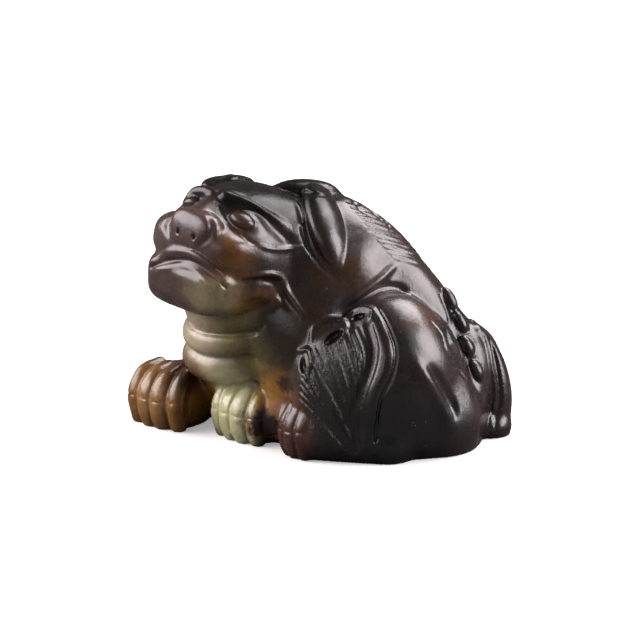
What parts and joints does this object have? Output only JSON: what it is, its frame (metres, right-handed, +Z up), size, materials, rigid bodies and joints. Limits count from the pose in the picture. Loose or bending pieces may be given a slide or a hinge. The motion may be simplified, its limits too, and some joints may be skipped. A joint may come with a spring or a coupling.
{
  "type": "jade beast carving",
  "caption": "Small crouching mythical beast carved from one pebble of mottled jade, head raised and turned, paws folded forward, hair swept over the hind leg.",
  "frame": {"origin": "middle of the bounding box on the table, under the belly", "axes": "+X towards the tail, -X the way the forepaws reach, +Z up; the head is turned towards -Y, the beast's own left"},
  "size_m": [0.068, 0.0456, 0.0458],
  "materials": {
    "jade": "polished"
  },
  "bodies": {
    "root": {"jade_beast": "jade"}
  },
  "joints": []
}
